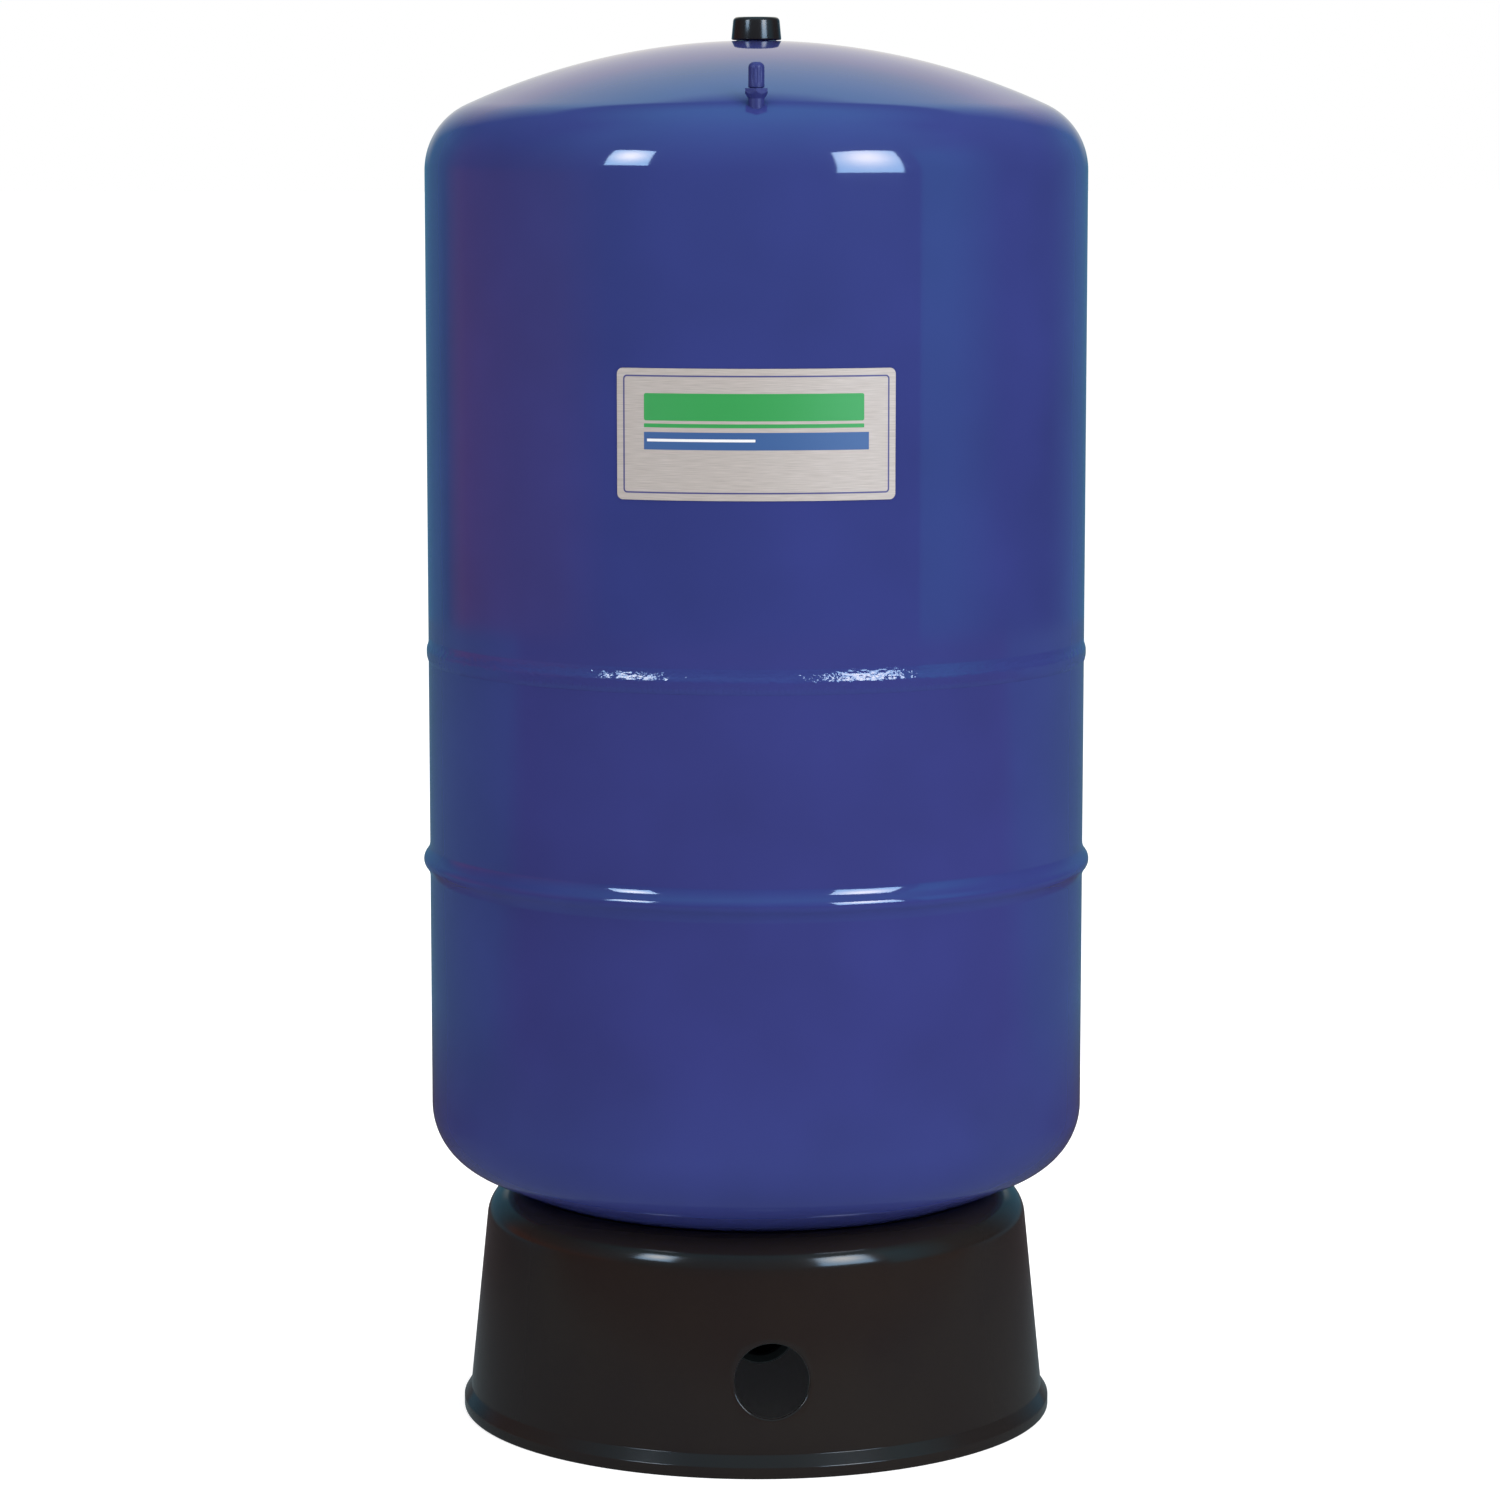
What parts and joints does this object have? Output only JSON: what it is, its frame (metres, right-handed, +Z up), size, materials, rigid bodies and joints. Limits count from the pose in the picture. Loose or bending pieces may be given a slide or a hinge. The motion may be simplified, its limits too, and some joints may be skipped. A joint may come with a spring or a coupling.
{
  "type": "well pressure tank",
  "caption": "Upright pre-charged well pressure tank: two drawn steel shells with a clamped diaphragm inside, air valve, black cap, rating plate, and a black stand with a pipe hole.",
  "frame": {"origin": "centre of the stand's foot on the floor", "axes": "+Z up along the tank's axis; -Y towards the pipe hole of the stand, with the rating plate and the air valve turned 3.1 degrees from it towards -X"},
  "size_m": [0.398, 0.398, 0.8324],
  "materials": {
    "tank_paint": "gloss blue baked enamel",
    "stand_plastic": "semi-gloss black moulded polypropylene",
    "cap_plastic": "gloss black moulded plastic",
    "plate_metal": "brushed, with printed fields",
    "elbow_coating": "matt black coating",
    "plain_steel": "plain steel",
    "core_brass": "turned",
    "liner_plastic": "natural polypropylene",
    "rubber": "matt black butyl rubber"
  },
  "bodies": {
    "tank": {"upper_shell": "tank_paint", "lower_shell": "tank_paint", "girth_weld": "tank_paint", "top_boss": "tank_paint", "boss_weld": "tank_paint", "valve_stem": "tank_paint", "base_stand": "stand_plastic", "rating_plate": "plate_metal", "water_elbow": "elbow_coating", "clamp_ring": "plain_steel", "port_nozzle": "plain_steel", "port_nut": "plain_steel", "top_plug": "plain_steel", "core_spring": "plain_steel", "core_body": "core_brass", "water_liner": "liner_plastic", "diaphragm": "rubber", "port_gasket": "rubber", "core_seal": "rubber"},
    "top_cap": {"top_cap": "cap_plastic"},
    "valve_cap": {"valve_cap": "tank_paint", "valve_cap_seal": "rubber"},
    "valve_pin": {"core_pin": "core_brass", "pin_seal": "rubber"}
  },
  "joints": [
    {"name": "top_cap_lift", "type": "slide", "parent": "tank", "child": "top_cap", "axis": [0, 0, 1], "range_m": [0, 0.03]},
    {"name": "valve_cap_lift", "type": "slide", "parent": "tank", "child": "valve_cap", "axis": [0, 0, 1], "range_m": [0, 0.025]},
    {"name": "valve_pin_press", "type": "slide", "parent": "tank", "child": "valve_pin", "axis": [0, 0, -1], "range_m": [0, 0.001], "stiffness_N_per_m": 300, "springref_m": -0.004, "deforming": ["core_spring"]}
  ]
}
